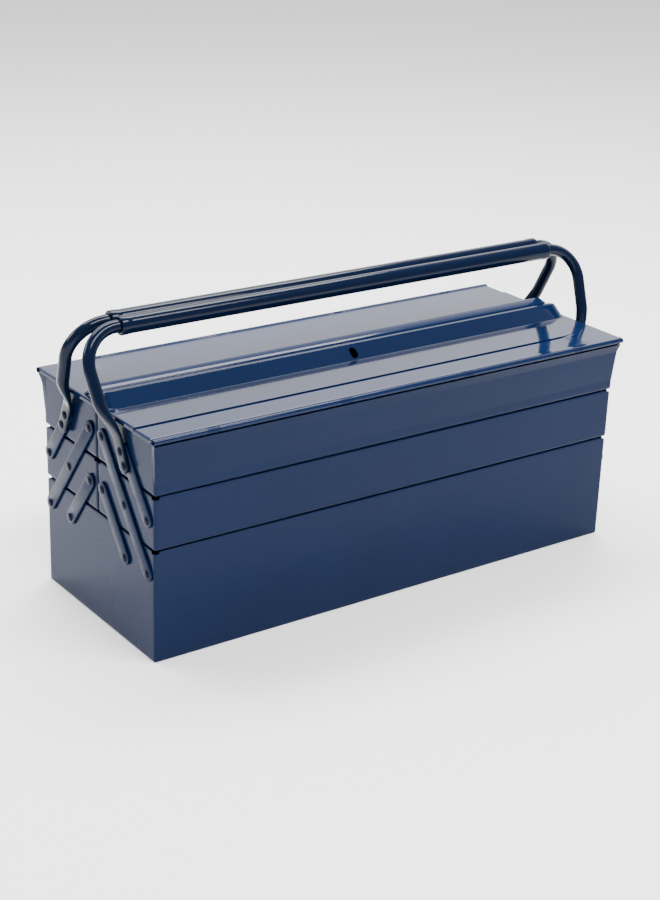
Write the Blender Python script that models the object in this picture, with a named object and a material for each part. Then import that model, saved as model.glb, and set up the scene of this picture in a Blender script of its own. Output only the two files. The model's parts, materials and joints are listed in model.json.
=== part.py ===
"""Cantilever tool box in painted sheet steel: a base, four trays on swinging arms, two lids, two handles.

Each long side opens on its own. Three kinds of parallel arm carry its trays outward, the handle is fixed
to the outer arms, and each top tray has a lid hinged on a long pin.

Metres, +Z up. X runs along the box, the front is -Y, and the origin is under the middle of the base.
u is the distance from the middle plane, so a point of a side lies at y = side * u, with side -1 in front.
"""
import math

import bmesh
import bpy
from mathutils import Vector

MM = 0.001

# Overall sizes
BOX_LENGTH = 530 * MM
BOX_WIDTH = 200 * MM
BASE_HEIGHT = 108 * MM
MIDDLE_HEIGHT = 51 * MM
TOP_HEIGHT = 53.4 * MM

# Sheet and fits
SHEET = 0.8 * MM
TIER_GAP = 0.4 * MM           # between one tier's rim and the bottom of the next
CENTRE_GAP = 1.2 * MM         # between the front and rear trays
TIER_STEP = 0.8 * MM          # each tier stands this much further out than the one below
PIVOT_CLEARANCE = 0.4 * MM    # radial play of a rivet in its holes
SIDE_PLAY = 0.4 * MM          # between the faces of plates that turn on each other

# Rolled outer wall of a top tray
FLARE_OUT = 6.0 * MM
FLARE_HEIGHT = 24 * MM
FLARE_STEPS = 5
CURL_OUT = 0.7 * MM           # the rolled edge of the lid stands this far out past the tray's lip

# Lid
LID_OVERHANG = 4.0 * MM       # past the tray at each end
LID_GAP = 1.0 * MM            # between the tray's rim and the underside of the lid
LID_SKIRT = 3.6 * MM          # height of the turned-down end edge
RIDGE_HEIGHT = 11.5 * MM
RIDGE_FOOT = 26 * MM          # u where the ridge's sloping face meets the lid
RIDGE_RUN = 14 * MM           # the crest lies this much further in
RIDGE_DIP = 2.2 * MM          # the ridge falls this much from its crest to the middle plane
RIDGE_END_SETBACK = 3 * MM    # from the end of the lid
RIDGE_CORNER = 1.5 * MM
LOCK_HOLE_WIDTH = 8 * MM
LOCK_HOLE_HEIGHT = 6.5 * MM
LOCK_HOLE_RISE = 5 * MM       # its middle, above the lid

# Lid hinge
PIN_RADIUS = 1.2 * MM
KNUCKLE_RADIUS = 2.7 * MM
KNUCKLE_WIDTH = 12 * MM
KNUCKLE_PITCH = 140 * MM
KNUCKLE_COUNT = 4
HINGE_CLEARANCE = 0.35 * MM
PIN_END_SETBACK = 3 * MM

# Arms and pivots
ARM_WIDTH = 14 * MM
ARM_THICKNESS = 2.0 * MM
ARM_END_STEPS = 6
PIVOT_INNER_MARGIN = 11.5 * MM    # from the middle plane to the innermost pivots
PIVOT_OUTER_MARGIN = 9.5 * MM     # from the outermost pivots to the side of the base
PIVOT_DROP = 24 * MM          # the base pivots lie this far below the base's rim
PIVOT_STEP_Z = 51 * MM        # between the pivots of one tier and the next
RIVET_RADIUS = 2.5 * MM
RIVET_HEAD_RADIUS = 4.2 * MM
RIVET_HEAD_HEIGHT = 1.6 * MM
RIVET_BROW_RADIUS = 3.6 * MM  # a ring of the domed head
RIVET_BROW_HEIGHT = 1.1 * MM
RIVET_CROWN_RADIUS = 1.9 * MM
UPSET_RADIUS = 3.8 * MM       # the far end, hammered over
UPSET_TIP_RADIUS = 2.5 * MM
UPSET_HEIGHT = 1.1 * MM
ROUND_SIDES = 12

# Handles
GRIP_RADIUS = 8.3 * MM
GRIP_COLLAR_RADIUS = 8.8 * MM
GRIP_COLLAR_LENGTH = 9 * MM
GRIP_EDGE = 1.5 * MM          # bevel of the collars
GRIP_GAP = 0.5 * MM           # between the front and rear collars
GRIP_Z = 284 * MM
LEG_RADIUS = 5.8 * MM
LEG_IN_GRIP = 22 * MM
LEG_FIT = 0.3 * MM            # radial clearance of a leg in the grip
LEG_FLAT_WIDTH = 14 * MM
LEG_FLAT_THICKNESS = 3.2 * MM
LEG_FLAT_TOP = 9 * MM         # the flat reaches this far above the pivot
LEG_ROUND_FROM = 48 * MM      # from here up the leg is round
LEG_LID_CLEARANCE = 5.5 * MM
LEG_SPLAY = 2.5 * MM          # the top of the leg stands this much further out than its round start
LEG_BEND_RADIUS = 33 * MM
LEG_BEND_STEPS = 7
LEG_STRAIGHT = 3 * MM         # between the bend and the grip
LEG_FOOT_STEPS = 4
LEG_FOOT_TIP = 0.12           # the foot's round end is blunt: its arc starts at this share of a quarter turn
LEG_BLEND_STEPS = 5
LEG_SIDES = 16

# Finishes, as colour, roughness and metalness
BLUE_ENAMEL = ((0.024, 0.055, 0.125), 0.22, 0.0)
DARK_BLUE_ENAMEL = ((0.012, 0.028, 0.068), 0.16, 0.0)
BRIGHT_STEEL = ((0.56, 0.57, 0.58), 0.3, 1.0)
SECOND_RIVET_DROP = 13 * MM

# Values that follow from the sizes above
HALF_LENGTH = BOX_LENGTH / 2
MIDDLE_FLOOR = BASE_HEIGHT + TIER_GAP
MIDDLE_RIM = MIDDLE_FLOOR + MIDDLE_HEIGHT
TOP_FLOOR = MIDDLE_RIM + TIER_GAP
TOP_RIM = TOP_FLOOR + TOP_HEIGHT
LID_TOP = TOP_RIM + LID_GAP + SHEET
MIDDLE_OUT = BOX_WIDTH / 2 + TIER_STEP
TOP_OUT = MIDDLE_OUT + TIER_STEP
LIP_OUT = TOP_OUT + FLARE_OUT
HINGE_Z = LID_TOP - KNUCKLE_RADIUS
HINGE_U = LIP_OUT + CURL_OUT - KNUCKLE_RADIUS
LIP_TOP = HINGE_Z - KNUCKLE_RADIUS - HINGE_CLEARANCE
LID_HALF_LENGTH = HALF_LENGTH + LID_OVERHANG
ARM_INNER_X = HALF_LENGTH + SIDE_PLAY
ARM_OUTER_X = ARM_INNER_X + ARM_THICKNESS
LEG_FLAT_INNER_X = ARM_OUTER_X + SIDE_PLAY
LEG_FLAT_OUTER_X = LEG_FLAT_INNER_X + LEG_FLAT_THICKNESS
LEG_ROUND_X = LID_HALF_LENGTH + LEG_LID_CLEARANCE + LEG_RADIUS
LEG_TOP_X = LEG_ROUND_X + LEG_SPLAY
GRIP_HALF_LENGTH = LEG_TOP_X - LEG_BEND_RADIUS - LEG_STRAIGHT
PIVOT_FIRST_U = PIVOT_INNER_MARGIN
PIVOT_STEP_U = (BOX_WIDTH / 2 - PIVOT_INNER_MARGIN - PIVOT_OUTER_MARGIN) / 2
PIVOT_FIRST_Z = BASE_HEIGHT - PIVOT_DROP
RIDGE_SLOPE = math.atan2(RIDGE_HEIGHT, RIDGE_RUN)
HOLE_RADIUS = RIVET_RADIUS + PIVOT_CLEARANCE
GRIP_U = GRIP_COLLAR_RADIUS + GRIP_GAP / 2
SIDES = {"front": -1, "rear": 1}
ENDS = {"left": -1, "right": 1}


def pivot(column, row):
    """The (u, z) of a pivot: columns count outward, rows count base, middle tray, top tray."""
    return (PIVOT_FIRST_U + column * PIVOT_STEP_U, PIVOT_FIRST_Z + row * PIVOT_STEP_Z)


SHORT_ARM = [pivot(1, 0), pivot(0, 1)]
LONG_ARM = [pivot(2, 0), pivot(1, 1), pivot(0, 2)]
OUTER_ARM = [pivot(2, 1), pivot(1, 2)]
HANDLE_PIVOT = OUTER_ARM[1]

LEAN = math.atan2(HANDLE_PIVOT[0] - GRIP_U, GRIP_Z - HANDLE_PIVOT[1])
LEG_REACH = math.hypot(HANDLE_PIVOT[0] - GRIP_U, GRIP_Z - HANDLE_PIVOT[1])


def make_material(name, colour, roughness, metallic):
    material = bpy.data.materials.new(name)
    material.use_nodes = True
    shader = material.node_tree.nodes["Principled BSDF"]
    shader.inputs["Base Color"].default_value = (*colour, 1)
    shader.inputs["Roughness"].default_value = roughness
    shader.inputs["Metallic"].default_value = metallic
    return material


def add_object(name, bm, material, parent=None, smooth_below=35):
    """Closes a bmesh given in world coordinates into an object whose origin is its parent's."""
    bmesh.ops.recalc_face_normals(bm, faces=bm.faces)
    origin = parent.matrix_world.translation if parent else Vector((0, 0, 0))
    bmesh.ops.translate(bm, verts=bm.verts, vec=-origin)
    mesh = bpy.data.meshes.new(name)
    bm.to_mesh(mesh)
    bm.free()
    mesh.shade_smooth()
    mesh.set_sharp_from_angle(angle=math.radians(smooth_below))
    mesh.materials.append(material)
    obj = bpy.data.objects.new(name, mesh)
    bpy.context.scene.collection.objects.link(obj)
    obj.parent = parent
    return obj


def add_axis(name, location):
    """An empty on a joint's axis, which holds the pieces that turn there."""
    empty = bpy.data.objects.new(name, None)
    empty.location = location
    bpy.context.scene.collection.objects.link(empty)
    bpy.context.view_layer.update()
    return empty


def shape(obj, operation, tool_bm):
    """Cuts a tool out of an object, or joins it on, with a Boolean modifier."""
    tool = add_object(f"{obj.name}_{operation.lower()}_tool_{len(obj.modifiers)}", tool_bm,
                      obj.data.materials[0], obj.parent)
    tool.hide_render = True
    tool.display_type = "WIRE"
    modifier = obj.modifiers.new(operation.title(), "BOOLEAN")
    modifier.operation = operation
    modifier.solver = "EXACT"
    modifier.object = tool


def add_prism(bm, outline, x0, x1, side=1):
    """An outline of (u, z) points drawn out along X between x0 and x1."""
    near = [bm.verts.new((x0, side * u, z)) for u, z in outline]
    far = [bm.verts.new((x1, side * u, z)) for u, z in outline]
    bm.faces.new(near)
    bm.faces.new(reversed(far))
    for i in range(len(outline)):
        j = (i + 1) % len(outline)
        bm.faces.new((near[i], far[i], far[j], near[j]))
    return bm


def add_box(bm, x_range, u_range, z_range, side=1):
    outline = [(u_range[0], z_range[0]), (u_range[1], z_range[0]),
               (u_range[1], z_range[1]), (u_range[0], z_range[1])]
    return add_prism(bm, outline, *x_range, side)


def circle(centre, radius, count=ROUND_SIDES):
    """Points of a circle in (u, z)."""
    turns = [2 * math.pi * (i + 0.5) / count for i in range(count)]
    return [(centre[0] + radius * math.cos(t), centre[1] + radius * math.sin(t)) for t in turns]


def add_rod(bm, centre, radius, x0, x1, side):
    return add_prism(bm, circle(centre, radius), x0, x1, side)


def add_turned(bm, profile, centre, side=1, count=ROUND_SIDES, ring=False):
    """Turns a profile of (x, radius) about an axis along X; a ring has a bore, other profiles are capped."""
    rings = []
    for x, radius in profile:
        rings.append([bm.verts.new((x, side * u, z)) for u, z in circle(centre, radius, count)])
    pairs = list(zip(rings, rings[1:]))
    if ring:
        pairs.append((rings[-1], rings[0]))
    for a, b in pairs:
        for i in range(count):
            j = (i + 1) % count
            bm.faces.new((a[i], b[i], b[j], a[j]))
    if not ring:
        bm.faces.new(rings[0])
        bm.faces.new(reversed(rings[-1]))
    return bm


def drill(obj, centres, side):
    """Rivet holes through both end walls, one through-going tool for all of them."""
    tool = bmesh.new()
    reach = HALF_LENGTH + SHEET
    for centre in centres:
        add_rod(tool, centre, HOLE_RADIUS, -reach, reach, side)
    shape(obj, "DIFFERENCE", tool)


def add_base(paint):
    half = BOX_WIDTH / 2
    inner = half - SHEET
    base = add_object("base_box", add_box(bmesh.new(), (-HALF_LENGTH, HALF_LENGTH), (-half, half),
                                          (0, BASE_HEIGHT)), paint)
    inside = add_box(bmesh.new(), (-HALF_LENGTH + SHEET, HALF_LENGTH - SHEET), (-inner, inner),
                     (SHEET, BASE_HEIGHT + SHEET))
    for side in SIDES.values():
        drill(base, [SHORT_ARM[0], LONG_ARM[0]], side)
    shape(base, "DIFFERENCE", inside)


def add_middle_tray(label, side, axis, paint):
    u0 = CENTRE_GAP / 2
    tray = add_object(f"{label}_middle_tray", add_box(bmesh.new(), (-HALF_LENGTH, HALF_LENGTH),
                                                      (u0, MIDDLE_OUT), (MIDDLE_FLOOR, MIDDLE_RIM), side),
                      paint, axis)
    inside = add_box(bmesh.new(), (-HALF_LENGTH + SHEET, HALF_LENGTH - SHEET),
                     (u0 + SHEET, MIDDLE_OUT - SHEET), (MIDDLE_FLOOR + SHEET, MIDDLE_RIM + SHEET), side)
    shape(tray, "DIFFERENCE", inside)
    drill(tray, [SHORT_ARM[1], LONG_ARM[1], OUTER_ARM[0]], side)


def flare(inset):
    """The outer wall of a top tray, which leans out to its lip in a smooth curve."""
    start = LIP_TOP - FLARE_HEIGHT
    points = []
    for i in range(FLARE_STEPS + 1):
        part = i / FLARE_STEPS
        points.append((TOP_OUT - inset + FLARE_OUT * part * part, start + FLARE_HEIGHT * part))
    return points


def knuckle_places():
    first = -KNUCKLE_PITCH * (KNUCKLE_COUNT - 1) / 2
    return [first + KNUCKLE_PITCH * i for i in range(KNUCKLE_COUNT)]


def add_top_tray(label, side, axis, paint):
    u0 = CENTRE_GAP / 2
    shoulder = HINGE_U - KNUCKLE_RADIUS - HINGE_CLEARANCE
    outline = [(u0, TOP_FLOOR), (TOP_OUT, TOP_FLOOR), *flare(0), (shoulder, LIP_TOP),
               (shoulder, TOP_RIM), (u0, TOP_RIM)]
    tray = add_object(f"{label}_top_tray", add_prism(bmesh.new(), outline, -HALF_LENGTH, HALF_LENGTH, side),
                      paint, axis)
    above = TOP_RIM + SHEET
    hollow = [(u0 + SHEET, TOP_FLOOR + SHEET), (TOP_OUT - SHEET, TOP_FLOOR + SHEET), *flare(SHEET),
              (LIP_OUT - SHEET, above), (u0 + SHEET, above)]
    shape(tray, "DIFFERENCE", add_prism(bmesh.new(), hollow, -HALF_LENGTH + SHEET, HALF_LENGTH - SHEET, side))
    drill(tray, [LONG_ARM[2], OUTER_ARM[1]], side)
    for x in knuckle_places():
        x0 = x - KNUCKLE_WIDTH / 2
        x1 = x + KNUCKLE_WIDTH / 2
        neck_low = LIP_TOP - 2 * SHEET
        neck = [(LIP_OUT - SHEET - FLARE_OUT / FLARE_STEPS, neck_low), (LIP_OUT - SHEET / 2, LIP_TOP - SHEET / 2),
                (LIP_OUT - SHEET / 2, HINGE_Z - SHEET), (HINGE_U - SHEET, HINGE_Z - SHEET)]
        shape(tray, "UNION", add_prism(bmesh.new(), neck, x0, x1, side))
        shape(tray, "UNION", add_rod(bmesh.new(), (HINGE_U, HINGE_Z), KNUCKLE_RADIUS, x0, x1, side))
    reach = HALF_LENGTH - KNUCKLE_WIDTH
    bore = add_rod(bmesh.new(), (HINGE_U, HINGE_Z), PIN_RADIUS + HINGE_CLEARANCE, -reach, reach, side)
    shape(tray, "DIFFERENCE", bore)


def add_hinge_pin(label, side, axis, steel):
    reach = HALF_LENGTH - PIN_END_SETBACK
    pin = add_rod(bmesh.new(), (HINGE_U, HINGE_Z), PIN_RADIUS, -reach, reach, side)
    add_object(f"{label}_lid_hinge_pin", pin, steel, axis)


def ridge_face(z, inset):
    """u of the ridge's sloping outer face at a height; inset moves the face in along its normal."""
    return RIDGE_FOOT - inset / math.sin(RIDGE_SLOPE) - (z - LID_TOP) / math.tan(RIDGE_SLOPE)


def ridge_outline(inset, foot):
    """Half of the raised ridge where the lids meet; inset shrinks it for the hollow."""
    top = LID_TOP + RIDGE_HEIGHT - inset
    inner = CENTRE_GAP / 2 + inset
    brow = top - RIDGE_CORNER
    return [(inner, foot), (ridge_face(foot, inset), foot), (ridge_face(brow, inset), brow),
            (ridge_face(top, inset) - RIDGE_CORNER / 2, top), (inner, top - RIDGE_DIP)]


def add_lid(label, side, axis, paint):
    under = LID_TOP - SHEET
    u0 = CENTRE_GAP / 2
    ridge_end = LID_HALF_LENGTH - RIDGE_END_SETBACK
    plate = add_box(bmesh.new(), (-LID_HALF_LENGTH, LID_HALF_LENGTH), (u0, HINGE_U), (under, LID_TOP), side)
    lid = add_object(f"{label}_lid", plate, paint, axis)
    skirt_low = under - LID_SKIRT
    for end in ENDS.values():
        x_range = (end * (LID_HALF_LENGTH - SHEET), end * LID_HALF_LENGTH)
        skirt = add_box(bmesh.new(), x_range, (u0, HINGE_U - KNUCKLE_RADIUS), (skirt_low, under + SHEET / 2),
                        side)
        shape(lid, "UNION", skirt)
    curl = add_rod(bmesh.new(), (HINGE_U, HINGE_Z), KNUCKLE_RADIUS, -LID_HALF_LENGTH, LID_HALF_LENGTH, side)
    shape(lid, "UNION", curl)
    ridge = add_prism(bmesh.new(), ridge_outline(0, under + SHEET / 2), -ridge_end, ridge_end, side)
    shape(lid, "UNION", ridge)
    hollow_end = ridge_end - SHEET
    hollow = add_prism(bmesh.new(), ridge_outline(SHEET, under - SHEET), -hollow_end, hollow_end, side)
    shape(lid, "DIFFERENCE", hollow)
    bore = add_rod(bmesh.new(), (HINGE_U, HINGE_Z), PIN_RADIUS + HINGE_CLEARANCE,
                   -LID_HALF_LENGTH - SHEET, LID_HALF_LENGTH + SHEET, side)
    shape(lid, "DIFFERENCE", bore)
    notches = bmesh.new()
    for x in knuckle_places():
        reach = KNUCKLE_WIDTH / 2 + HINGE_CLEARANCE
        add_box(notches, (x - reach, x + reach), (HINGE_U - KNUCKLE_RADIUS - HINGE_CLEARANCE,
                                                  HINGE_U + 2 * KNUCKLE_RADIUS),
                (HINGE_Z - 2 * KNUCKLE_RADIUS, HINGE_Z + 2 * KNUCKLE_RADIUS), side)
    shape(lid, "DIFFERENCE", notches)
    middle = LID_TOP + LOCK_HOLE_RISE
    lock = add_box(bmesh.new(), (-LOCK_HOLE_WIDTH / 2, LOCK_HOLE_WIDTH / 2), (0, RIDGE_FOOT + SHEET),
                   (middle - LOCK_HOLE_HEIGHT / 2, middle + LOCK_HOLE_HEIGHT / 2), side)
    shape(lid, "DIFFERENCE", lock)


def arm_outline(first, last):
    """A bar with round ends that are centred on two pivots."""
    heading = math.atan2(last[1] - first[1], last[0] - first[0])
    points = []
    for centre, start in ((last, heading - math.pi / 2), (first, heading + math.pi / 2)):
        for i in range(ARM_END_STEPS + 1):
            turn = start + math.pi * i / ARM_END_STEPS
            points.append((centre[0] + ARM_WIDTH / 2 * math.cos(turn),
                           centre[1] + ARM_WIDTH / 2 * math.sin(turn)))
    return points


def second_rivet_place():
    """Below the handle's pivot, halfway between the directions of the outer arm and of the leg."""
    arm_lean = math.atan2(PIVOT_STEP_U, PIVOT_STEP_Z)
    lean = (arm_lean + LEAN) / 2
    return (HANDLE_PIVOT[0] + SECOND_RIVET_DROP * math.sin(lean),
            HANDLE_PIVOT[1] - SECOND_RIVET_DROP * math.cos(lean))


def add_arm(name, pivots, extra_holes, side, end, axis, paint):
    plate = add_prism(bmesh.new(), arm_outline(pivots[0], pivots[-1]), end * ARM_INNER_X, end * ARM_OUTER_X,
                      side)
    arm = add_object(name, plate, paint, axis)
    holes = bmesh.new()
    for centre in pivots + extra_holes:
        add_rod(holes, centre, HOLE_RADIUS, end * (ARM_INNER_X - SHEET), end * (ARM_OUTER_X + SHEET), side)
    shape(arm, "DIFFERENCE", holes)


def add_rivet(name, centre, side, end, axis, paint, grip_to, from_inside=True):
    """A domed rivet: its head stands outside grip_to, its upset end inside the tray wall."""
    head = grip_to + SIDE_PLAY / 2
    profile = [(head + RIVET_HEAD_HEIGHT, RIVET_CROWN_RADIUS), (head + RIVET_BROW_HEIGHT, RIVET_BROW_RADIUS),
               (head, RIVET_HEAD_RADIUS), (head, RIVET_RADIUS)]
    if from_inside:
        seat = HALF_LENGTH - SHEET - SIDE_PLAY
        profile += [(seat, RIVET_RADIUS), (seat, UPSET_RADIUS), (seat - UPSET_HEIGHT, UPSET_TIP_RADIUS)]
    else:
        profile += [(ARM_INNER_X + SIDE_PLAY / 4, RIVET_RADIUS)]
    turned = add_turned(bmesh.new(), [(end * x, radius) for x, radius in profile], centre, side)
    add_object(name, turned, paint, axis)


def leg_stations():
    """(x, distance from the pivot, half width, half thickness) of sections along a handle leg."""
    flat_x = (LEG_FLAT_INNER_X + LEG_FLAT_OUTER_X) / 2
    half = LEG_FLAT_WIDTH / 2
    thin = LEG_FLAT_THICKNESS / 2
    low = -SECOND_RIVET_DROP - half
    stations = []
    for i in range(LEG_FOOT_STEPS + 1):
        turn = math.pi / 2 * (LEG_FOOT_TIP + (1 - LEG_FOOT_TIP) * i / LEG_FOOT_STEPS)
        stations.append((flat_x, low + half * (1 - math.cos(turn)), half * math.sin(turn), thin))
    stations.append((flat_x, LEG_FLAT_TOP, half, thin))
    for i in range(1, LEG_BLEND_STEPS + 1):
        part = i / LEG_BLEND_STEPS
        ease = part * part * (3 - 2 * part)
        stations.append((flat_x + (LEG_ROUND_X - flat_x) * ease,
                         LEG_FLAT_TOP + (LEG_ROUND_FROM - LEG_FLAT_TOP) * part,
                         half + (LEG_RADIUS - half) * ease, thin + (LEG_RADIUS - thin) * ease))
    bend = LEG_BEND_RADIUS
    for i in range(LEG_BEND_STEPS + 1):
        turn = math.pi / 2 * i / LEG_BEND_STEPS
        stations.append((LEG_TOP_X - bend * (1 - math.cos(turn)), LEG_REACH - bend + bend * math.sin(turn),
                         LEG_RADIUS, LEG_RADIUS))
    stations.append((GRIP_HALF_LENGTH - LEG_IN_GRIP, LEG_REACH, LEG_RADIUS, LEG_RADIUS))
    return stations


def add_leg(name, side, end, axis, paint):
    """A tube whose lower end is pressed flat and riveted to the outer arm."""
    stations = leg_stations()
    up = Vector((0, -side * math.sin(LEAN), math.cos(LEAN)))
    across = Vector((0, side * math.cos(LEAN), math.sin(LEAN)))
    foot = Vector((0, side * HANDLE_PIVOT[0], HANDLE_PIVOT[1]))
    bm = bmesh.new()
    rings = []
    for i, (x, rise, half_width, half_thickness) in enumerate(stations):
        before = stations[max(i - 1, 0)]
        after = stations[min(i + 1, len(stations) - 1)]
        run = Vector((after[0] - before[0], after[1] - before[1])).normalized()
        normal = Vector((end, 0, 0)) * run.y - up * run.x
        centre = foot + Vector((end * x, 0, 0)) + up * rise
        squareness = 1 - min(half_thickness / half_width, 1)
        power = 1 / (1 + squareness)
        ring = []
        for k in range(LEG_SIDES):
            turn = 2 * math.pi * k / LEG_SIDES
            c = math.copysign(abs(math.cos(turn)) ** power, math.cos(turn))
            s = math.copysign(abs(math.sin(turn)) ** power, math.sin(turn))
            ring.append(bm.verts.new(centre + across * half_width * c + normal * half_thickness * s))
        rings.append(ring)
    for a, b in zip(rings, rings[1:]):
        for k in range(LEG_SIDES):
            j = (k + 1) % LEG_SIDES
            bm.faces.new((a[k], b[k], b[j], a[j]))
    bm.faces.new(rings[0])
    bm.faces.new(reversed(rings[-1]))
    leg = add_object(name, bm, paint, axis)
    holes = bmesh.new()
    for centre in (HANDLE_PIVOT, second_rivet_place()):
        add_rod(holes, centre, HOLE_RADIUS, end * (LEG_FLAT_INNER_X - SHEET), end * (LEG_FLAT_OUTER_X + SHEET),
                side)
    shape(leg, "DIFFERENCE", holes)


def add_grip(label, side, axis, paint):
    """A straight tube with a swelled collar at each end, which the legs plug into."""
    bore = LEG_RADIUS + LEG_FIT
    half = [(GRIP_HALF_LENGTH, bore), (GRIP_HALF_LENGTH, GRIP_COLLAR_RADIUS - GRIP_EDGE),
            (GRIP_HALF_LENGTH - GRIP_EDGE, GRIP_COLLAR_RADIUS),
            (GRIP_HALF_LENGTH - GRIP_COLLAR_LENGTH + GRIP_EDGE, GRIP_COLLAR_RADIUS),
            (GRIP_HALF_LENGTH - GRIP_COLLAR_LENGTH, GRIP_RADIUS)]
    profile = half + [(-x, radius) for x, radius in reversed(half)]
    tube = add_turned(bmesh.new(), profile, (GRIP_U, GRIP_Z), side, count=2 * ROUND_SIDES, ring=True)
    add_object(f"{label}_handle_grip", tube, paint, axis)


def add_side(label, side, paint, dark_paint, steel):
    """All pieces of one side, each group on the axis that it turns about."""
    def axis(name, place):
        return add_axis(f"{label}_{name}_axis", (0, side * place[0], place[1]))

    base = add_axis(f"{label}_base_origin", (0, 0, 0))
    long_axis = axis("long_arm", LONG_ARM[0])
    short_axis = axis("short_arm", SHORT_ARM[0])
    middle_axis = axis("middle_tray", LONG_ARM[1])
    top_axis = axis("top_tray", LONG_ARM[2])
    handle_axis = axis("handle", HANDLE_PIVOT)
    lid_axis = axis("lid", (HINGE_U, HINGE_Z))
    add_middle_tray(label, side, middle_axis, paint)
    add_top_tray(label, side, top_axis, paint)
    add_hinge_pin(label, side, top_axis, steel)
    add_lid(label, side, lid_axis, paint)
    add_grip(label, side, handle_axis, dark_paint)
    for end_label, end in ENDS.items():
        where = f"{label}_{end_label}"
        second = second_rivet_place()
        add_arm(f"{where}_short_arm", SHORT_ARM, [], side, end, short_axis, paint)
        add_arm(f"{where}_long_arm", LONG_ARM, [], side, end, long_axis, paint)
        add_arm(f"{where}_outer_arm", OUTER_ARM, [second], side, end, handle_axis, paint)
        add_leg(f"{where}_handle_leg", side, end, handle_axis, dark_paint)
        rivets = {"short_arm_base": (SHORT_ARM[0], base), "long_arm_base": (LONG_ARM[0], base),
                  "short_arm_middle": (SHORT_ARM[1], middle_axis),
                  "long_arm_middle": (LONG_ARM[1], middle_axis),
                  "outer_arm_middle": (OUTER_ARM[0], middle_axis), "long_arm_top": (LONG_ARM[2], top_axis)}
        for place, (centre, owner) in rivets.items():
            add_rivet(f"{where}_{place}_rivet", centre, side, end, owner, paint, ARM_OUTER_X)
        add_rivet(f"{where}_handle_pivot_rivet", HANDLE_PIVOT, side, end, top_axis, paint, LEG_FLAT_OUTER_X)
        add_rivet(f"{where}_handle_fixing_rivet", second, side, end, handle_axis, paint, LEG_FLAT_OUTER_X,
                  from_inside=False)


def main():
    for obj in list(bpy.data.objects):
        bpy.data.objects.remove(obj, do_unlink=True)
    paint = make_material("blue_enamel", *BLUE_ENAMEL)
    dark_paint = make_material("dark_blue_enamel", *DARK_BLUE_ENAMEL)
    steel = make_material("bright_steel", *BRIGHT_STEEL)
    add_base(paint)
    for label, side in SIDES.items():
        add_side(label, side, paint, dark_paint, steel)


main()
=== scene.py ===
"""The looks of the cantilever tool box: glossy blue enamel on pressed sheet, strip and bent tube."""
import json
import math

import bmesh
import bpy
from mathutils import Matrix, Vector

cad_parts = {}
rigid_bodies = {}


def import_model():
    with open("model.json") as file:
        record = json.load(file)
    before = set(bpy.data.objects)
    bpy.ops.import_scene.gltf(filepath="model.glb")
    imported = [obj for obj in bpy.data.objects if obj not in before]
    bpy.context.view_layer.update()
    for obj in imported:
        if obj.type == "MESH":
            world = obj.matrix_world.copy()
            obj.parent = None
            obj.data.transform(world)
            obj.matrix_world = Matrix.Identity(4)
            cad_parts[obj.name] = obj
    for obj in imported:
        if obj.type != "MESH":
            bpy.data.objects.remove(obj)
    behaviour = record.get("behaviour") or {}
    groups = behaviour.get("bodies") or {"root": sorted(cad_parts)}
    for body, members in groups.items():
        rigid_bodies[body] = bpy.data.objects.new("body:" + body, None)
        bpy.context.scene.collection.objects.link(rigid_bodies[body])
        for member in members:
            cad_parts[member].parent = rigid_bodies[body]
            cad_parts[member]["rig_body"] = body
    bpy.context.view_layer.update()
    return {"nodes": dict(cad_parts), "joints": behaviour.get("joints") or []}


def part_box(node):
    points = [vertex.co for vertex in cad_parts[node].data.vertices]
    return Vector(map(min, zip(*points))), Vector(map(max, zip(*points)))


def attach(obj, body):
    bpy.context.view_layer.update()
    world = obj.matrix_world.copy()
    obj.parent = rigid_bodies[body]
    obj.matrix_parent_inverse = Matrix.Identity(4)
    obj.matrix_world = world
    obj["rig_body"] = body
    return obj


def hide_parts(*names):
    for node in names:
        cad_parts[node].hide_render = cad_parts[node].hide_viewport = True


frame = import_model()

MM = 0.001
SIDES = {"front": -1, "rear": 1}
ENDS = {"left": -1, "right": 1}
JOINTS = {joint["name"]: joint for joint in frame["joints"]}
SHARP_ANGLE = 40              # degrees between two faces that make an edge sharp
TURNED_SHARP_ANGLE = 50
TUBE_SHARP_ANGLE = 60

# Sheet metal
SHEET = 0.8 * MM
HEM = 1.9 * MM                # thickness of a folded rim
HEM_DEPTH = 8 * MM
CORNER = 2.0 * MM             # outside radius of the upright edges
BOTTOM_EDGE = 1.5 * MM
TRAY_EDGE = 2.8 * MM          # rounded lower edge of the upper tiers
FLOOR_FILLET = 1.2 * MM
SEAM = 0.6 * MM               # a rim lies this far below the next tier
FLARE_OUT = 6.0 * MM
FLARE_DEPTH = 27 * MM         # below the lip
LIP_OUT = 107.6 * MM
FLARE_SPREAD = 3 * MM         # the lip's ends stand out this far beyond the end walls

# Lids and their hinges
CURL_RADIUS = 2.7 * MM
PIN_RADIUS = 1.2 * MM
HINGE_GAP = 0.15 * MM
LIP_DROP = 1.0 * MM           # the tray's lip lies this far below the rolled edge
RIM_DROP = 1.0 * MM           # the tray's other rims lie this far below the lid
STRAP_DEPTH = 4 * MM          # a knuckle's strap starts this far below the lip
STRAP_TURN = (180, -95)       # and is rolled round the pin between these angles, in degrees
STRAP_STEPS = 18
KNUCKLE_WIDTH = 12 * MM
KNUCKLE_PLACES = (-210 * MM, -70 * MM, 70 * MM, 210 * MM)
CENTRE = 0.6 * MM             # from the middle plane to the edge of a lid
ROLL_TURN = (100, -190)       # the lid's edge is rolled between these angles, in degrees
ROLL_STEPS = 20
ROLL_NECK = 3.6 * MM          # the ends of the lid are bent down up to this distance from the hinge
CREASE_U = 73 * MM
CREASE_HALF = 0.5 * MM        # half the width of its groove, whose sides take another CREASE_SIDE
CREASE_SIDE = 0.1 * MM
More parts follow.
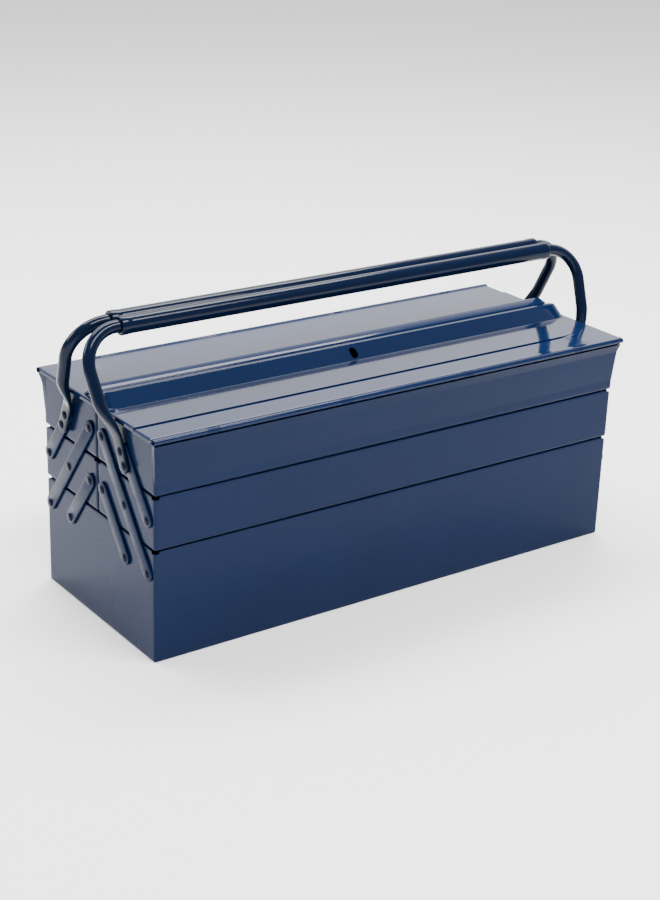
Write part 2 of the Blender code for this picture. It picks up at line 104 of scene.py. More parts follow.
CREASE_GROOVE = 1.8           # depth of the groove, as a share of the step
CREASE_STEP = 1.1 * MM
CREASE_END_X = 216 * MM       # the crease runs out before one end of the lid
CREASE_FADE = 12 * MM
CREASE_FADE_STEPS = 6
SKIRT = 4.2 * MM
LID_EDGE = 1.6 * MM
RIDGE_HEIGHT = 11.5 * MM
RIDGE_FOOT = 26 * MM
RIDGE_RUN = 14 * MM
RIDGE_DIP = 2.2 * MM
RIDGE_BROW = 3.6 * MM         # radius of its crest
RIDGE_FILLET = 4.5 * MM
RIDGE_SETBACK = 3 * MM
RIDGE_BROW_STEPS = 8
RIDGE_FILLET_STEPS = 6
RIDGE_END = 6.5 * MM          # length over which its ends round off
RIDGE_END_WIDTH = 0.75        # share of its width that is left at the very end
LOCK_RISE = 5 * MM
LOCK_HALF = (4.1 * MM, 4.0 * MM)
LOCK_CORNER = 3.4 * MM
LOCK_CORNER_STEPS = 5
LOCK_REACH = (-1 * MM, RIDGE_FOOT + 3 * MM)

# Rims
NOTCH = 5 * MM                # the rims are relieved this far from each corner
NOTCH_DEPTH = 2.2 * MM
NOTCH_SIDE = 0.4 * MM         # width of a notch's sloping side
CORNER_STEPS = 5
CORNER_LEAST = 0.05 * MM      # least radius of an inside corner
EDGE_TURNS = (0, 22, 45, 68, 90)
FILLET_TURNS = (30, 60, 90)
WALL_STEPS = 24
RIM_STEPS = 8

# Rivets
RIVET_HEAD = 1.6 * MM
RIVET_SHANK = 2.5 * MM        # radius
RIVET_TAIL = 1.12 * MM
RIVET_SHADOW_GAP = 0.05 * MM  # the head's rim is undercut by this much
RIVET_TURNS = (6, 20, 38, 56, 72, 84, 90)
RIVET_SIDES = 28
PIN_BEVEL = 0.4 * MM
PIN_SIDES = 24

# Arms and handles
ARM_HALF = 7 * MM
ARM_EDGE = 0.5 * MM           # softening of its edges
ARM_END_STEPS = 16
GRIP_RADIUS = 8.3 * MM
LEG_RADIUS = 5.8 * MM
LEG_FLAT_HALF = 7 * MM
LEG_FLAT_THIN = 1.6 * MM
LEG_FLAT_TOP = 9 * MM
LEG_ROUND_FROM = 48 * MM
LEG_LID_CLEARANCE = 5.5 * MM
LEG_STRAIGHT = 3 * MM
LEG_ARM_GAP = 0.4 * MM
LEG_IN_GRIP = 20 * MM
LEG_FOOT_STEPS = 9
LEG_BLEND_STEPS = 10
LEG_RISE_STEPS = 5
LEG_BEND_STEPS = 20
LEG_SIDES = 36
GRIP_FIT = 0.15 * MM          # radial gap between leg and grip
GRIP_LIP = 1.6 * MM           # radius of the turned-in edge
GRIP_LIP_TURNS = (80, 60, 40, 20, 0)
GRIP_SIDES = 56
SECOND_RIVET_DROP = 13 * MM

# Paints, as linear colour, roughness, strength of the ripple and refractive index
PAINTS = {
    "box_enamel": ((0.003, 0.0095, 0.036), 0.2, 0.12, 1.18),
    "lid_enamel": ((0.003, 0.0105, 0.04), 0.08, 0.14, 1.26),
    "arm_enamel": ((0.003, 0.0095, 0.034), 0.3, 0.15, 1.19),
    # the rivet heads take the arms' blue paint darkened to less than half: painted shade for how dark the
    # domes look
    "rivet_enamel": ((0.001, 0.004, 0.015), 0.2, 0.15, 1.2),
    "handle_enamel": ((0.0008, 0.0045, 0.018), 0.09, 0.08, 1.24),
}
SHADE_RANGE = (0.85, 1.15)    # unevenness of the colour and of the roughness
GLOSS_RANGE = (0.8, 1.3)
SHADE_NOISE = (9.0, 3.0)      # scale and detail
GLOSS_NOISE = (60.0, 4.0)
PEEL_NOISE = (300.0, 1.5)
PEEL_DEPTH = 0.05 * MM
STEEL_NOISE = (900.0, 2.0)
STEEL_ROUGHNESS = (0.22, 0.38)
STEEL_COLOUR = (0.5, 0.51, 0.52, 1)
FLOOR_COLOUR = (0.92, 0.92, 0.92, 1)

# Studio, in metres and watts
REAR = (0.588, 0.809, 0.0)    # where the bright backdrop stands
PANEL_SIDE = (0.1, 0.45)      # the panel fades in between these shares of the direction towards it
PANEL_FOOT = (0.1, 0.26)      # and between these heights, and out again towards the top
PANEL_TOP = (0.8, 0.55)
ROOM_LEVEL = 0.6
PANEL_LEVEL = 3.2
SOFT_BOXES = {
    "rear_left_box": ((-1.9, 1.6, 1.3), (0.9, 0.9), 30),
    "top_box": ((0.2, 0.9, 2.1), (2.4, 0.8), 110),
    "front_box": ((0.2, -1.4, 2.5), (2.4, 0.7), 150),
}
AIM = Vector((0, 0, 0.12))
FLOOR_HALF = 8
CAMERA_PLACE = Vector((-0.968, -1.317, 0.776))
CAMERA_LENS = 71.9
CAMERA_AZIMUTH = math.radians(36.06)
CAMERA_FALL = math.radians(22.08)
CAMERA_ROLL = math.radians(1.97)


def joint_place(name):
    """A joint's (u, z): distance from the middle plane, and height."""
    place = JOINTS[name]["pos_m"]
    return abs(place[1]), place[2]


# ---------------------------------------------------------------- meshes
def soften(mesh, smooth_below):
    """Smooth shading, with sharp edges where faces meet at more than an angle in degrees."""
    mesh.shade_smooth()
    mesh.set_sharp_from_angle(angle=math.radians(smooth_below))


def new_object(name, bm, smooth_below=SHARP_ANGLE):
    bmesh.ops.recalc_face_normals(bm, faces=bm.faces)
    mesh = bpy.data.meshes.new(name)
    bm.to_mesh(mesh)
    bm.free()
    soften(mesh, smooth_below)
    obj = bpy.data.objects.new(name, mesh)
    bpy.context.scene.collection.objects.link(obj)
    return obj


def hand_over(piece, material, body, slot, *nodes):
    """Gives a piece in world coordinates its paint and its body, in place of the CAD nodes it stands for."""
    piece.data.materials.clear()
    piece.data.materials.append(material)
    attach(piece, body)
    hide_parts(*nodes)


def bridge(bm, rings):
    """Quads between neighbouring closed rings of vertices."""
    for a, b in zip(rings, rings[1:]):
        count = len(a)
        for i in range(count):
            j = (i + 1) % count
            bm.faces.new((a[i], a[j], b[j], b[i]))


def cap_ends(bm, rings):
    bm.faces.new(rings[0])
    bm.faces.new(rings[-1])


def cut(piece, bm):
    """Cuts the closed shapes in a bmesh out of a piece."""
    cutter = new_object("cutter", bm)
    modifier = piece.modifiers.new("Cut", "BOOLEAN")
    modifier.operation = "DIFFERENCE"
    modifier.solver = "EXACT"
    modifier.object = cutter
    bpy.context.view_layer.update()
    evaluated = piece.evaluated_get(bpy.context.evaluated_depsgraph_get())
    result = bpy.data.meshes.new_from_object(evaluated)
    piece.modifiers.clear()
    piece.data = result
    soften(piece.data, SHARP_ANGLE)
    bpy.data.objects.remove(cutter)


def add_box(bm, low, high):
    centre = (Vector(low) + Vector(high)) / 2
    size = Vector(high) - Vector(low)
    turn = Matrix.Translation(centre) @ Matrix.Diagonal((*size, 1))
    bmesh.ops.create_cube(bm, size=1, matrix=turn)


def add_prism(bm, outline, x0, x1, side):
    """An outline of (u, z) points drawn out along X."""
    rings = [[bm.verts.new((x, side * u, z)) for u, z in outline] for x in (x0, x1)]
    bridge(bm, rings)
    cap_ends(bm, rings)


def arc(centre, radius, start, end, steps):
    """Points on an arc, angles in degrees."""
    turns = [math.radians(start + (end - start) * i / steps) for i in range(steps + 1)]
    return [(centre[0] + radius * math.cos(t), centre[1] + radius * math.sin(t)) for t in turns]


def two_faces(path, thickness):
    """The points on both faces of a sheet whose middle line is given."""
    left = []
    right = []
    for i, point in enumerate(path):
        here = Vector(point)
        along = (Vector(path[min(i + 1, len(path) - 1)]) - Vector(path[max(i - 1, 0)])).normalized()
        across = Vector((-along.y, along.x)) * thickness / 2
        left.append(tuple(here + across))
        right.append(tuple(here - across))
    return left, right


# ---------------------------------------------------------------- base and trays
def tray_profile(height, edge):
    """(inset, height) from under a tray's floor, up its wall, over the folded rim and down to its floor."""
    turns = [math.radians(t) for t in EDGE_TURNS]
    points = [(edge - edge * math.sin(t), edge - edge * math.cos(t)) for t in turns]
    rim = height - HEM / 2
    points += [(0.0, edge + (rim - edge) * i / WALL_STEPS) for i in range(1, WALL_STEPS)]
    points += arc((HEM / 2, rim), HEM / 2, 180, 0, RIM_STEPS)
    points += [(HEM, height - HEM_DEPTH), (HEM * 0.8, height - HEM_DEPTH - HEM * 0.2),
               (SHEET, height - HEM_DEPTH - HEM * 0.25), (SHEET, SHEET + FLOOR_FILLET)]
    turns = [math.radians(t) for t in FILLET_TURNS]
    points += [(SHEET + FLOOR_FILLET * (1 - math.cos(t)), SHEET + FLOOR_FILLET * (1 - math.sin(t)))
               for t in turns]
    return points


def tray_ring(half_x, half_y, radius):
    """(x, y, on the +Y wall, in a corner) of points round a rectangle with round corners."""
    radius = max(radius, CORNER_LEAST)
    marks = (NOTCH, NOTCH - NOTCH_SIDE)
    points = []
    for k, (sx, sy) in enumerate(((1, 1), (-1, 1), (-1, -1), (1, -1))):
        corner = Vector((sx * half_x, sy * half_y))
        before = Vector((-math.sin(math.pi / 2 * k), math.cos(math.pi / 2 * k)))
        after = Vector((-before.y, before.x))
        for mark in marks:
            points.append((*(corner - before * mark), k == 1, mark < NOTCH))
        for i in range(CORNER_STEPS + 1):
            turn = math.pi / 2 * (k + i / CORNER_STEPS)
            points.append((sx * (half_x - radius) + radius * math.cos(turn),
                           sy * (half_y - radius) + radius * math.sin(turn), sy > 0, True))
        for mark in reversed(marks):
            points.append((*(corner + after * mark), k == 0, mark < NOTCH))
    return points


def add_tray(name, node, side, lip=None):
    """A pressed tray in place of a CAD one; lip holds the heights of the rim and of the flared wall."""
    low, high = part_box(node)
    half_x = (high.x - low.x) / 2
    y_outer = high.y if side > 0 else -low.y
    y_inner = low.y if side > 0 else -high.y
    height = high.z - low.z - SEAM
    if lip:
        y_outer = LIP_OUT - FLARE_OUT
        height = lip["rim"] - low.z
    half_y = (y_outer - y_inner) / 2
    centre = (y_outer + y_inner) / 2
    bm = bmesh.new()
    rings = []
    for inset, rise in tray_profile(height, BOTTOM_EDGE if low.z < FLOOR_FILLET else TRAY_EDGE):
        ring = []
        for x, y, outer, corner in tray_ring(half_x - inset, half_y - inset, CORNER - inset):
            out = 0.0
            z = rise
            if lip and outer:
                z = min(z, lip["lip"] - low.z)
                part = max(0.0, (z - (lip["lip"] - low.z - FLARE_DEPTH)) / FLARE_DEPTH)
                out = FLARE_OUT * part * part
                x *= 1 + FLARE_SPREAD * part * part / half_x
            if corner and not lip:
                z -= NOTCH_DEPTH * max(0.0, (z - height + HEM_DEPTH) / HEM_DEPTH)
            ring.append(bm.verts.new((x, side * (centre + y + out), low.z + z)))
        rings.append(ring)
    bridge(bm, rings)
    cap_ends(bm, rings)
    return new_object(name, bm)


def add_knuckle(bm, hinge, lip, x, side):
    """A strap of the tray wall that rises behind its lip and is rolled round the hinge pin."""
    middle = CURL_RADIUS - SHEET / 2
    path = [(hinge[0] - middle, lip - STRAP_DEPTH), (hinge[0] - middle, lip)]
    path += arc(hinge, middle, *STRAP_TURN, STRAP_STEPS)
    left, right = two_faces(path, SHEET)
    add_prism(bm, left + right[::-1], x - KNUCKLE_WIDTH / 2, x + KNUCKLE_WIDTH / 2, side)


def add_trays(paint):
    base = add_tray("base_shell", "base_box", 1)
    hand_over(base, paint, "base", "box_enamel", "base_box")
    for label, side in SIDES.items():
        node = f"{label}_middle_tray"
        tray = add_tray(f"{label}_middle_shell", node, side)
        hand_over(tray, paint, node, "box_enamel", node)
        node = f"{label}_top_tray"
        hinge = joint_place(f"{label}_lid_hinge")
        lip = hinge[1] - CURL_RADIUS - LIP_DROP
        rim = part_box(f"{label}_lid")[0].z + SKIRT - SHEET - RIM_DROP
        tray = add_tray(f"{label}_top_shell", node, side, {"lip": lip, "rim": rim})
        hand_over(tray, paint, node, "box_enamel", node)
        bm = bmesh.new()
        for x in KNUCKLE_PLACES:
            add_knuckle(bm, hinge, lip, x, side)
        knuckles = new_object(f"{label}_tray_knuckles", bm)
        hand_over(knuckles, paint, node, "box_enamel")


# ---------------------------------------------------------------- lids
def lid_path(hinge, top):
    """The lid's middle line as (u, z, is_ridge, is_lowered), from the middle plane out to the rolled edge."""
    z = top - SHEET / 2
    high = z + RIDGE_HEIGHT
    slope = math.atan2(RIDGE_HEIGHT, RIDGE_RUN)
    fall = math.atan2(RIDGE_DIP, RIDGE_FOOT - RIDGE_RUN)
    inner = CENTRE + SHEET / 2
    centre = (RIDGE_FOOT - RIDGE_RUN - RIDGE_BROW * 0.2, high - RIDGE_BROW)
    ridge = [(inner, z + 0.2 * MM), (inner, high - RIDGE_DIP - 1.0 * MM),
             (inner + 0.3 * MM, high - RIDGE_DIP - 0.3 * MM), (inner + 1.0 * MM, high - RIDGE_DIP + 0.1 * MM)]
    ridge += arc(centre, RIDGE_BROW, 90 + math.degrees(fall), 90 - math.degrees(slope),
                 RIDGE_BROW_STEPS)
    start = ridge[-1]
    foot = start[0] + (start[1] - z) / math.tan(slope)
    reach = RIDGE_FILLET * math.tan(slope / 2)
    ridge += [(start[0] + (foot - start[0]) * part, start[1] + (z - start[1]) * part) for part in (0.25, 0.5)]
    ridge += arc((foot + reach, z + RIDGE_FILLET), RIDGE_FILLET, 270 - math.degrees(slope), 270,
                 RIDGE_FILLET_STEPS)
    path = [(u, w, True, 0.0) for u, w in ridge]
    groove = CREASE_HALF + CREASE_SIDE
    flat = [(34 * MM, 0.0), (50 * MM, 0.0), (CREASE_U - 2.0 * MM, 0.0), (CREASE_U - groove, 0.0),
            (CREASE_U - CREASE_HALF, CREASE_GROOVE), (CREASE_U + CREASE_HALF, CREASE_GROOVE),
            (CREASE_U + groove, 1.0), (CREASE_U + 2.0 * MM, 1.0), (hinge[0] - 8 * MM, 1.0),
            (hinge[0] - 4.5 * MM, 1.0), (hinge[0] - 3.2 * MM, 0.8), (hinge[0] - 2.2 * MM, 0.35)]
    path += [(u, z, False, lowered) for u, lowered in flat]
    middle = CURL_RADIUS - SHEET / 2
    roll = arc((hinge[0], top - CURL_RADIUS), middle, *ROLL_TURN, ROLL_STEPS)
    path += [(u, w, False, 0.0) for u, w in roll]
    return path


def lid_stations(half_length, crease_side):
    """(x, turn of the end bend in degrees, drop below it) of the lid's sections."""
    start = half_length - LID_EDGE
    ridge_end = half_length - RIDGE_SETBACK
    inside = (0.0, 0.1, 0.3, 0.7, 1.3, 2.1, 3.1, 4.2, 5.4, 6.5, 9.0, 13.0)
    half = [(x, 0, 0.0) for x in (60 * MM, 120 * MM, 180 * MM, 240 * MM)]
    half += [(ridge_end - d * MM, 0, 0.0) for d in reversed(inside)]
    half += [(start, turn, 0.0) for turn in EDGE_TURNS]
    half += [(start, 90, SKIRT - LID_EDGE)]
    left = [(-x, turn, drop) for x, turn, drop in reversed(half)]
    fade = [(crease_side * (CREASE_END_X + CREASE_FADE * i / CREASE_FADE_STEPS), 0, 0.0)
            for i in range(CREASE_FADE_STEPS + 1)]
    return sorted(left + [(0.0, 0, 0.0)] + half + fade, key=lambda s: (s[0], s[1] * s[0], s[2] * s[0]))


def smooth(value):
    value = min(max(value, 0.0), 1.0)
    return value * value * (3 - 2 * value)


def rounded(part):
    """Rises from 0 to 1 like a quarter of a circle."""
    return math.sqrt(1 - (1 - min(max(part, 0.0), 1.0)) ** 2)


def knuckle_slots(hinge, side):
    """Boxes that clear the rolled edge for the tray's knuckles."""
    bm = bmesh.new()
    reach = KNUCKLE_WIDTH / 2 + HINGE_GAP
    ys = sorted((side * (hinge[0] - CURL_RADIUS - HINGE_GAP), side * (hinge[0] + 2 * CURL_RADIUS)))
    for x in KNUCKLE_PLACES:
        add_box(bm, (x - reach, ys[0], hinge[1] - 2 * CURL_RADIUS),
                (x + reach, ys[1], hinge[1] + 2 * CURL_RADIUS))
    return bm


def padlock_hole(top, side):
    """A bar with round corners that runs through the ridge along Y."""
    bm = bmesh.new()
    middle = top + LOCK_RISE
    outline = []
    for k, (sx, sz) in enumerate(((1, 1), (-1, 1), (-1, -1), (1, -1))):
        corner = (sx * (LOCK_HALF[0] - LOCK_CORNER), middle + sz * (LOCK_HALF[1] - LOCK_CORNER))
        outline += arc(corner, LOCK_CORNER, 90 * k, 90 * k + 90, LOCK_CORNER_STEPS)
    rings = [[bm.verts.new((x, side * u, z)) for x, z in outline] for u in LOCK_REACH]
    bridge(bm, rings)
    cap_ends(bm, rings)
    return bm


def add_lid(label, side, paint):
    hinge = joint_place(f"{label}_lid_hinge")
    half_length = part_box(f"{label}_lid")[1].x
    top = hinge[1] + CURL_RADIUS
    path = lid_path(hinge, top)
    left, right = two_faces([point[:2] for point in path], SHEET)
    plate = top - SHEET / 2
    ridge_end = half_length - RIDGE_SETBACK
    bm = bmesh.new()
    rings = []
    for x, turn, drop in lid_stations(half_length, -side):
        sign = -1 if x < 0 else 1
        depth = ridge_end - abs(x)
        tall = rounded(depth / RIDGE_END)
        wide = RIDGE_END_WIDTH + (1 - RIDGE_END_WIDTH) * rounded(depth / (2 * RIDGE_END))
        lowering = CREASE_STEP * smooth(1 - (-side * x - CREASE_END_X) / CREASE_FADE)
        bend = math.radians(turn)
        ring = []
        for face, points in ((1, left), (-1, right)):
            radius = LID_EDGE if face > 0 else LID_EDGE - SHEET
            row = []
            for (u, z), (_, _, is_ridge, lowered) in zip(points, path):
                if is_ridge:
                    base = plate + face * SHEET / 2
                    z = base + (z - base) * tall
                    u = CENTRE + (u - CENTRE) * wide
                z -= lowering * lowered
                x_out = abs(x) + radius * math.sin(bend)
                if u < hinge[0] - ROLL_NECK:
                    z -= radius * (1 - math.cos(bend)) + drop
                row.append(bm.verts.new((sign * x_out, side * u, z)))
            ring += row if face > 0 else row[::-1]
        rings.append(ring)
    bridge(bm, rings)
    for ring in (rings[0], rings[-1]):
        count = len(ring)
        for i in range(count // 2 - 1):
            bm.faces.new((ring[i], ring[i + 1], ring[count - 2 - i], ring[count - 1 - i]))
    lid = new_object(f"{label}_lid_sheet", bm)
    cut(lid, knuckle_slots(hinge, side))
    cut(lid, padlock_hole(top, side))
    hand_over(lid, paint, f"{label}_lid", "lid_enamel", f"{label}_lid")


# ---------------------------------------------------------------- turned pieces
def turned(name, profile, centre, count):
    """Turns a profile of (x, radius) about a line along X, with both ends capped."""
    bm = bmesh.new()
    rings = []
    for x, radius in profile:
        turns = [2 * math.pi * k / count for k in range(count)]
        rings.append([bm.verts.new((x, centre[0] + radius * math.cos(t), centre[1] + radius * math.sin(t)))
                      for t in turns])
    bridge(bm, rings)
    cap_ends(bm, rings)
    return new_object(name, bm, TURNED_SHARP_ANGLE)


def add_rivets(paint):
    """Domed heads on a shank, in place of each plain rivet."""
    for node, obj in frame["nodes"].items():
        if not node.endswith("_rivet"):
            continue
        low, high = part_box(node)
        end = 1 if low.x > 0 else -1
        outer = max(abs(low.x), abs(high.x))
        inner = min(abs(low.x), abs(high.x))
        centre = ((low.y + high.y) / 2, (low.z + high.z) / 2)
        radius = (high.z - low.z) / 2
        turns = [math.radians(d) for d in RIVET_TURNS]
        under = outer - RIVET_HEAD - RIVET_SHADOW_GAP
        profile = [(outer - RIVET_HEAD * (1 - math.cos(t)), radius * math.sin(t)) for t in turns]
        profile += [(under, radius * 0.97), (under, RIVET_SHANK)]
        if "fixing" in node:
            profile += [(inner, RIVET_SHANK)]
        else:
            profile += [(inner + RIVET_TAIL, RIVET_SHANK), (inner + RIVET_TAIL, radius * 0.86),
                        (inner + RIVET_TAIL * 0.5, radius * 0.8), (inner, radius * 0.5)]
        piece = turned(f"{node}_dome", [(end * x, r) for x, r in profile], centre, RIVET_SIDES)
        hand_over(piece, paint, obj["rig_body"], "rivet_enamel", node)


def add_pins(steel):
    for label, side in SIDES.items():
        node = f"{label}_lid_hinge_pin"
        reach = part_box(node)[1].x
        u, z = joint_place(f"{label}_lid_hinge")
        half = [(reach, PIN_RADIUS - PIN_BEVEL), (reach - PIN_BEVEL, PIN_RADIUS), (reach / 2, PIN_RADIUS)]
        profile = half + [(-x, r) for x, r in reversed(half)]
        piece = turned(f"{label}_lid_hinge_wire", profile, (side * u, z), PIN_SIDES)
        hand_over(piece, steel, f"{label}_top_tray", "hinge_steel", node)


# ---------------------------------------------------------------- arms
def add_arm(node, side, end, paint):
    """A strip with round ends and softened edges."""
    low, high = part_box(node)
    x_in = min(abs(low.x), abs(high.x))
    x_out = max(abs(low.x), abs(high.x))
    u_low = min(abs(low.y), abs(high.y)) + ARM_HALF
    u_high = max(abs(low.y), abs(high.y)) - ARM_HALF
    first = Vector((u_high, low.z + ARM_HALF))
    last = Vector((u_low, high.z - ARM_HALF))
    heading = math.degrees(math.atan2(last.y - first.y, last.x - first.x))
    part = ARM_EDGE * 0.3
    levels = [(x_in, ARM_EDGE), (x_in + part, part), (x_in + ARM_EDGE, 0), (x_out - ARM_EDGE, 0),
              (x_out - part, part), (x_out, ARM_EDGE)]
    bm = bmesh.new()
    rings = []
    for x, inset in levels:
        radius = ARM_HALF - inset
        outline = arc(last, radius, heading - 90, heading + 90, ARM_END_STEPS)
        outline += arc(first, radius, heading + 90, heading + 270, ARM_END_STEPS)
        rings.append([bm.verts.new((end * x, side * u, z)) for u, z in outline])
    bridge(bm, rings)
    cap_ends(bm, rings)
    arm = new_object(f"{node}_strip", bm)
    hand_over(arm, paint, frame["nodes"][node]["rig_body"], "arm_enamel", node)


# ---------------------------------------------------------------- handles
def leg_stations(flat_x, round_x, top_x, grip_x, reach):
    """(x, height along the leg from its pivot, half width, half thickness) of the leg's sections."""
    low = -SECOND_RIVET_DROP - LEG_FLAT_HALF
    stations = []
    for i in range(1, LEG_FOOT_STEPS + 1):
        turn = math.pi / 2 * i / LEG_FOOT_STEPS
        stations.append((flat_x, low + LEG_FLAT_HALF * (1 - math.cos(turn)), LEG_FLAT_HALF * math.sin(turn),
                         LEG_FLAT_THIN))
    stations.append((flat_x, LEG_FLAT_TOP, LEG_FLAT_HALF, LEG_FLAT_THIN))
    for i in range(1, LEG_BLEND_STEPS + 1):
        ease = smooth(i / LEG_BLEND_STEPS)
        stations.append((flat_x + (round_x - flat_x) * ease,
                         LEG_FLAT_TOP + (LEG_ROUND_FROM - LEG_FLAT_TOP) * i / LEG_BLEND_STEPS,
                         LEG_FLAT_HALF + (LEG_RADIUS - LEG_FLAT_HALF) * ease,
                         LEG_FLAT_THIN + (LEG_RADIUS - LEG_FLAT_THIN) * ease))
    bend = top_x - grip_x - LEG_STRAIGHT
    for i in range(1, LEG_RISE_STEPS):
        part = i / LEG_RISE_STEPS
        stations.append((round_x + (top_x - round_x) * part,
                         LEG_ROUND_FROM + (reach - bend - LEG_ROUND_FROM) * part, LEG_RADIUS, LEG_RADIUS))
    for i in range(LEG_BEND_STEPS + 1):
        turn = math.pi / 2 * i / LEG_BEND_STEPS
        stations.append((top_x - bend * (1 - math.cos(turn)), reach - bend + bend * math.sin(turn),
                         LEG_RADIUS, LEG_RADIUS))
    stations.append((grip_x - LEG_IN_GRIP, reach, LEG_RADIUS, LEG_RADIUS))
    return stations


def add_leg(label, end_label, side, end, paint):
    node = f"{label}_{end_label}_handle_leg"
    low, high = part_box(node)
    x_max = max(abs(low.x), abs(high.x))
    grip_low, grip_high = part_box(f"{label}_handle_grip")
    grip = (abs(grip_low.y + grip_high.y) / 2, (grip_low.z + grip_high.z) / 2)
    pivot = joint_place(f"{label}_handle_swing")
    lean = math.atan2(pivot[0] - grip[0], grip[1] - pivot[1])
    reach = math.hypot(pivot[0] - grip[0], grip[1] - pivot[1])
    arm_low, arm_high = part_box(f"{label}_{end_label}_outer_arm")
    flat_x = max(abs(arm_low.x), abs(arm_high.x)) + LEG_ARM_GAP + LEG_FLAT_THIN
    round_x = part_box(f"{label}_lid")[1].x + LEG_LID_CLEARANCE + LEG_RADIUS
    stations = leg_stations(flat_x, round_x, x_max - LEG_RADIUS, grip_high.x, reach)
    up = Vector((0, -side * math.sin(lean), math.cos(lean)))
    across = Vector((0, side * math.cos(lean), math.sin(lean)))
    foot = Vector((0, side * pivot[0], pivot[1]))
    bm = bmesh.new()
    rings = []
    for i, (x, rise, half_width, half_thickness) in enumerate(stations):
        before = stations[max(i - 1, 0)]
        after = stations[min(i + 1, len(stations) - 1)]
        run = Vector((after[0] - before[0], after[1] - before[1])).normalized()
        normal = Vector((end, 0, 0)) * run.y - up * run.x
        centre = foot + Vector((end * x, 0, 0)) + up * rise
        power = 1 / (1 + max(0.0, 1 - half_thickness / max(half_width, LEG_RADIUS)))
        ring = []
        for k in range(LEG_SIDES):
            turn = 2 * math.pi * k / LEG_SIDES
            c = math.copysign(abs(math.cos(turn)) ** power, math.cos(turn))
            s = math.copysign(abs(math.sin(turn)) ** power, math.sin(turn))
            ring.append(bm.verts.new(centre + across * half_width * c + normal * half_thickness * s))
        rings.append(ring)
    bridge(bm, rings)
    cap_ends(bm, rings)
    leg = new_object(f"{node}_tube", bm, TUBE_SHARP_ANGLE)
    hand_over(leg, paint, f"{label}_handle", "handle_enamel", node)


def add_grip(label, side, paint):
    """A tube swelled at both ends where it takes the legs, with its edge turned in."""
    node = f"{label}_handle_grip"
    low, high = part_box(node)
    centre = ((low.y + high.y) / 2, (low.z + high.z) / 2)
    collar = (high.z - low.z) / 2
    reach = high.x
    bore = LEG_RADIUS + GRIP_FIT
    turns = [math.radians(d) for d in GRIP_LIP_TURNS]
    half = [(reach - 4 * MM, bore), (reach - 0.6 * MM, bore)]
    half += [(reach - GRIP_LIP + GRIP_LIP * math.sin(t), collar - GRIP_LIP + GRIP_LIP * math.cos(t))
             for t in turns]
    half += [(reach - 7 * MM, collar), (reach - 8 * MM, collar - 0.15 * MM),
             (reach - 9.5 * MM, GRIP_RADIUS + 0.1 * MM), (reach - 11 * MM, GRIP_RADIUS),
             (reach / 2, GRIP_RADIUS)]
    profile = half + [(-x, r) for x, r in reversed(half)]
    grip = turned(f"{node}_tube", profile, centre, GRIP_SIDES)
    hand_over(grip, paint, f"{label}_handle", "handle_enamel", node)


# ---------------------------------------------------------------- materials
def new_material(name):
    material = bpy.data.materials.new(name)
    material.use_nodes = True
    return material, material.node_tree.nodes, material.node_tree.links


def noise(nodes, links, scale, detail):
    coords = nodes.new("ShaderNodeTexCoord")
    texture = nodes.new("ShaderNodeTexNoise")
    texture.inputs["Scale"].default_value = scale
    texture.inputs["Detail"].default_value = detail
    links.new(coords.outputs["Object"], texture.inputs["Vector"])
    return texture.outputs["Fac"]


def remap(nodes, links, value, low, high):
    """Spreads the middle of a noise over a range of values."""
    node = nodes.new("ShaderNodeMapRange")
    node.inputs["From Min"].default_value = 0.3
    node.inputs["From Max"].default_value = 0.7
    node.inputs["To Min"].default_value = low
    node.inputs["To Max"].default_value = high
    links.new(value, node.inputs["Value"])
    return node.outputs["Result"]


def enamel(name, colour, roughness, peel, ior):
    """Stoving enamel: a little uneven in colour and gloss, with the fine ripple of sprayed paint."""
    material, nodes, links = new_material(name)
    shader = nodes["Principled BSDF"]
    shader.inputs["IOR"].default_value = ior
    shade = nodes.new("ShaderNodeMix")
    shade.data_type = "RGBA"
    shade.inputs["A"].default_value = (*[c * SHADE_RANGE[0] for c in colour], 1)
    shade.inputs["B"].default_value = (*[c * SHADE_RANGE[1] for c in colour], 1)
    links.new(noise(nodes, links, *SHADE_NOISE), shade.inputs["Factor"])
    links.new(shade.outputs["Result"], shader.inputs["Base Color"])
    gloss = [roughness * share for share in GLOSS_RANGE]
    links.new(remap(nodes, links, noise(nodes, links, *GLOSS_NOISE), *gloss), shader.inputs["Roughness"])
    ripple = nodes.new("ShaderNodeBump")
    ripple.inputs["Strength"].default_value = peel
    ripple.inputs["Distance"].default_value = PEEL_DEPTH
    links.new(noise(nodes, links, *PEEL_NOISE), ripple.inputs["Height"])
    links.new(ripple.outputs["Normal"], shader.inputs["Normal"])
    return material


def drawn_steel(name):
    material, nodes, links = new_material(name)
    shader = nodes["Principled BSDF"]
    shader.inputs["Metallic"].default_value = 1.0
    shader.inputs["Base Color"].default_value = STEEL_COLOUR
    grain = remap(nodes, links, noise(nodes, links, *STEEL_NOISE), *STEEL_ROUGHNESS)
    links.new(grain, shader.inputs["Roughness"])
    return material


# ---------------------------------------------------------------- studio
def step_between(nodes, links, value, low, high):
    node = nodes.new("ShaderNodeMapRange")
    node.interpolation_type = "SMOOTHSTEP"
    node.inputs["From Min"].default_value = low
    node.inputs["From Max"].default_value = high
    links.new(value, node.inputs["Value"])
    return node.outputs["Result"]


def times(nodes, links, a, b):
    node = nodes.new("ShaderNodeMath")
    node.operation = "MULTIPLY"
    links.new(a, node.inputs[0])
    links.new(b, node.inputs[1])
    return node.outputs["Value"]


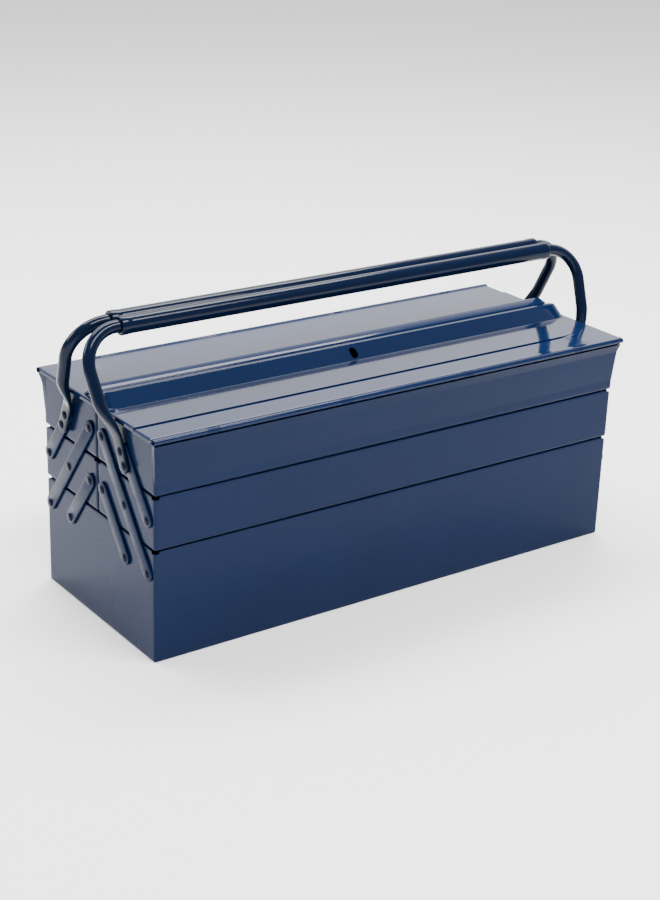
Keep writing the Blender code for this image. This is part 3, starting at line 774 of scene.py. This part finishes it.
def add_world():
    """A dim room with a wide bright panel standing behind the object."""
    world = bpy.data.worlds.new("studio")
    bpy.context.scene.world = world
    world.use_nodes = True
    nodes = world.node_tree.nodes
    links = world.node_tree.links
    background = nodes["Background"]
    background.inputs["Color"].default_value = (1, 1, 1, 1)
    coords = nodes.new("ShaderNodeTexCoord")
    facing = nodes.new("ShaderNodeVectorMath")
    facing.operation = "DOT_PRODUCT"
    facing.inputs[1].default_value = REAR
    links.new(coords.outputs["Generated"], facing.inputs[0])
    split = nodes.new("ShaderNodeSeparateXYZ")
    links.new(coords.outputs["Generated"], split.inputs["Vector"])
    rise = split.outputs["Z"]
    panel = times(nodes, links, step_between(nodes, links, facing.outputs["Value"], *PANEL_SIDE),
                  step_between(nodes, links, rise, *PANEL_FOOT))
    panel = times(nodes, links, panel, step_between(nodes, links, rise, *PANEL_TOP))
    level = nodes.new("ShaderNodeMapRange")
    level.inputs["To Min"].default_value = ROOM_LEVEL
    level.inputs["To Max"].default_value = PANEL_LEVEL
    links.new(panel, level.inputs["Value"])
    links.new(level.outputs["Result"], background.inputs["Strength"])


def add_soft_box(name, place, size, power):
    """An area light that faces the middle of the object."""
    data = bpy.data.lights.new(name, "AREA")
    data.shape = "RECTANGLE"
    data.size, data.size_y = size
    data.energy = power
    light = bpy.data.objects.new(name, data)
    light.location = place
    aim = AIM - Vector(place)
    light.rotation_euler = aim.to_track_quat("-Z", "Y").to_euler()
    bpy.context.scene.collection.objects.link(light)


def add_floor():
    bm = bmesh.new()
    bmesh.ops.create_grid(bm, x_segments=1, y_segments=1, size=FLOOR_HALF)
    floor = new_object("floor", bm)
    material, nodes, links = new_material("floor_paper")
    shader = nodes["Principled BSDF"]
    shader.inputs["Base Color"].default_value = FLOOR_COLOUR
    shader.inputs["Roughness"].default_value = 0.9
    shader.inputs["Specular IOR Level"].default_value = 0.2
    floor.data.materials.append(material)


def add_camera():
    data = bpy.data.cameras.new("camera")
    data.lens = CAMERA_LENS
    camera = bpy.data.objects.new("camera", data)
    turn = Matrix.Rotation(-CAMERA_AZIMUTH, 4, "Z") @ Matrix.Rotation(math.pi / 2 - CAMERA_FALL, 4, "X")
    turn = turn @ Matrix.Rotation(CAMERA_ROLL, 4, "Z")
    camera.matrix_world = Matrix.Translation(CAMERA_PLACE) @ turn
    bpy.context.scene.collection.objects.link(camera)
    bpy.context.scene.camera = camera


def main():
    add_camera()
    add_world()
    add_floor()
    for name, setting in SOFT_BOXES.items():
        add_soft_box(name, *setting)
    paints = {name: enamel(name, *setting) for name, setting in PAINTS.items()}
    steel = drawn_steel("hinge_steel")
    add_trays(paints["box_enamel"])
    add_rivets(paints["rivet_enamel"])
    add_pins(steel)
    for label, side in SIDES.items():
        add_lid(label, side, paints["lid_enamel"])
        add_grip(label, side, paints["handle_enamel"])
        for end_label, end in ENDS.items():
            add_leg(label, end_label, side, end, paints["handle_enamel"])
            for kind in ("short", "long", "outer"):
                add_arm(f"{label}_{end_label}_{kind}_arm", side, end, paints["arm_enamel"])


main()
